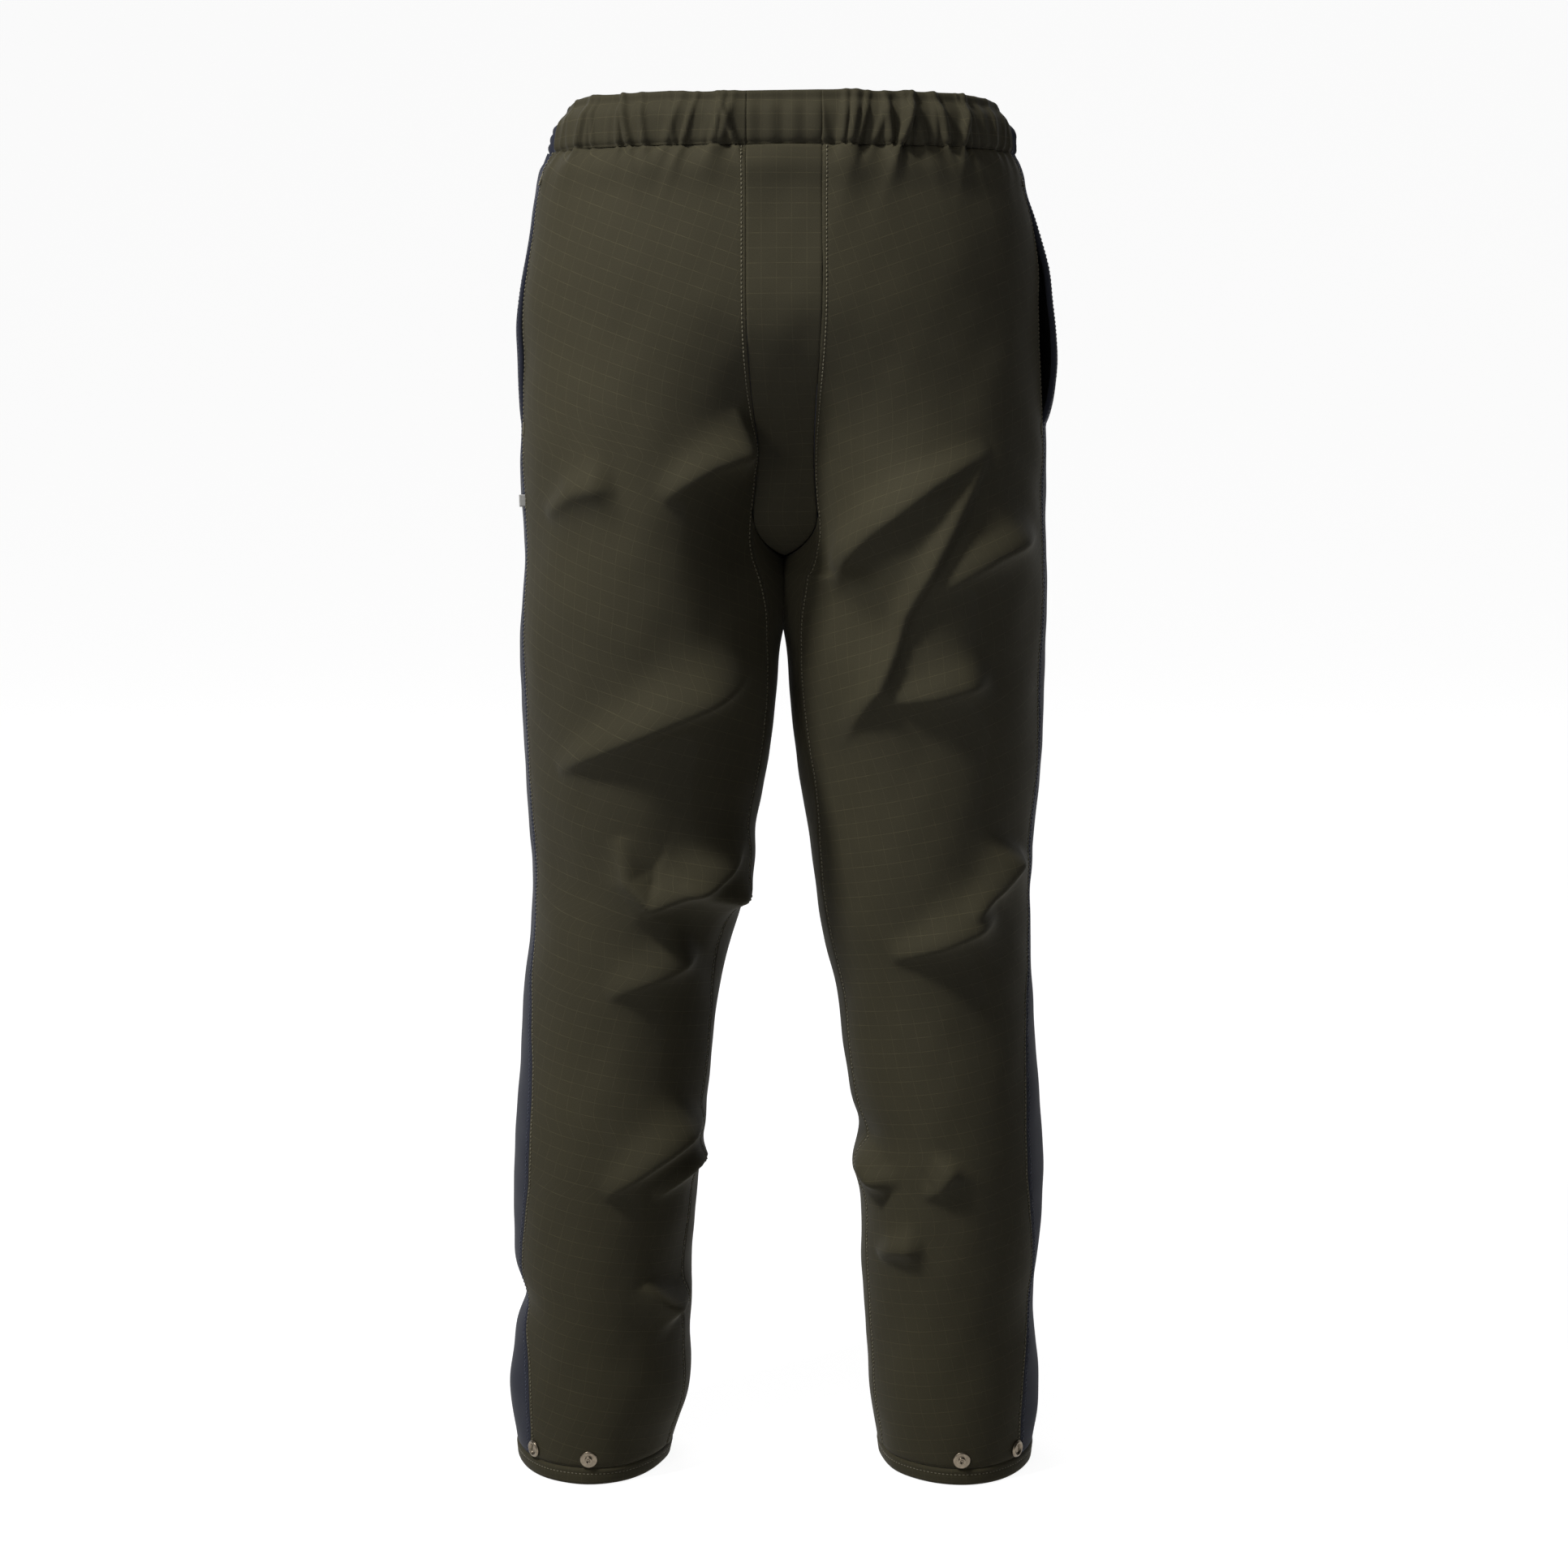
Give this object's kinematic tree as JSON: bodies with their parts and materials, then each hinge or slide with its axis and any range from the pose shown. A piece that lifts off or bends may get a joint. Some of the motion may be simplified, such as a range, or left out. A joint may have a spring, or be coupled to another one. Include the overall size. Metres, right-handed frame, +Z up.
{
  "type": "saw-protective over-trousers",
  "caption": "Full-leg saw-protective over-trousers with padded leg fronts, elastic waist, side pockets, front zip and press-stud hem adjusters.",
  "frame": {"origin": "centre of the waist opening, at the waist casing's top edge", "axes": "+Z up along the standing body, +Y the way the wearer faces, so the seat faces -Y; -X is the wearer's left leg"},
  "size_m": [0.4159, 0.2441, 1.04],
  "materials": {
    "olive": "matt ripstop weave, dark olive",
    "navy": "matt plain weave, navy grey",
    "black": "thin black pocket lining",
    "saw_padding": "layers of loose protective fibre",
    "lining": "dark warp-knit lining",
    "elastic": "woven elastic webbing",
    "label": "blank satin label tape",
    "snap_metal": "antique brass, brushed",
    "zip_tape": "woven zip tape",
    "zip_metal": "antique brass"
  },
  "bodies": {
    "garment": {"back_panel_left": "olive", "back_panel_right": "olive", "care_label": "label", "fly_shield": "navy", "front_panel_left": "navy", "front_panel_right": "navy", "hem_band_left": "olive", "hem_band_right": "olive", "hem_snap_socket_backing_left": "snap_metal", "hem_snap_socket_backing_right": "snap_metal", "hem_snap_socket_left": "snap_metal", "hem_snap_socket_right": "snap_metal", "hem_snap_stud_backing_left": "snap_metal", "hem_snap_stud_backing_right": "snap_metal", "hem_snap_stud_left": "snap_metal", "hem_snap_stud_right": "snap_metal", "inner_leg_gusset_left": "olive", "inner_leg_gusset_right": "olive", "pad_lining_left": "lining", "pad_lining_right": "lining", "pocket_bag_left": "black", "pocket_bag_right": "black", "pocket_bar_tack_bottom_left": "olive", "pocket_bar_tack_bottom_right": "olive", "pocket_bar_tack_top_left": "olive", "pocket_bar_tack_top_right": "olive", "pocket_facing_left": "navy", "pocket_facing_right": "navy", "saw_pad_left": "saw_padding", "saw_pad_right": "saw_padding", "seat_strip": "olive", "side_label_left": "label", "waist_casing_back_left": "olive", "waist_casing_back_right": "olive", "waist_casing_front_left": "navy", "waist_casing_front_right": "navy", "waist_casing_strip": "olive", "waist_elastic": "elastic", "waist_snap_stud": "snap_metal", "waist_snap_stud_backing": "snap_metal", "waist_tab_root": "olive", "zip_bottom_stop": "zip_metal", "zip_tape_left": "zip_tape", "zip_tape_right": "zip_tape", "zip_teeth_left": "zip_metal", "zip_teeth_right": "zip_metal", "zip_top_stop_left": "zip_metal", "zip_top_stop_right": "zip_metal"},
    "slider": {"zip_slider": "zip_metal"},
    "pull": {"zip_pull": "zip_metal"},
    "tab": {"waist_tab": "olive", "waist_snap_socket": "snap_metal", "waist_snap_cap": "snap_metal"}
  },
  "joints": [
    {"name": "zip_slide", "type": "slide", "parent": "garment", "child": "slider", "axis": [0, 0.0698, -0.9976], "range_m": [0, 0.138]},
    {"name": "pull_swing", "type": "hinge", "parent": "slider", "child": "pull", "pos_m": [0, 0.10944, -0.04769], "axis": [1, 0, 0], "range_deg": [0, 100]},
    {"name": "tab_open", "type": "hinge", "parent": "garment", "child": "tab", "pos_m": [-0.01772, 0.10792, -0.0185], "axis": [0, -0.0698, 0.9976], "range_deg": [0, 140]}
  ]
}
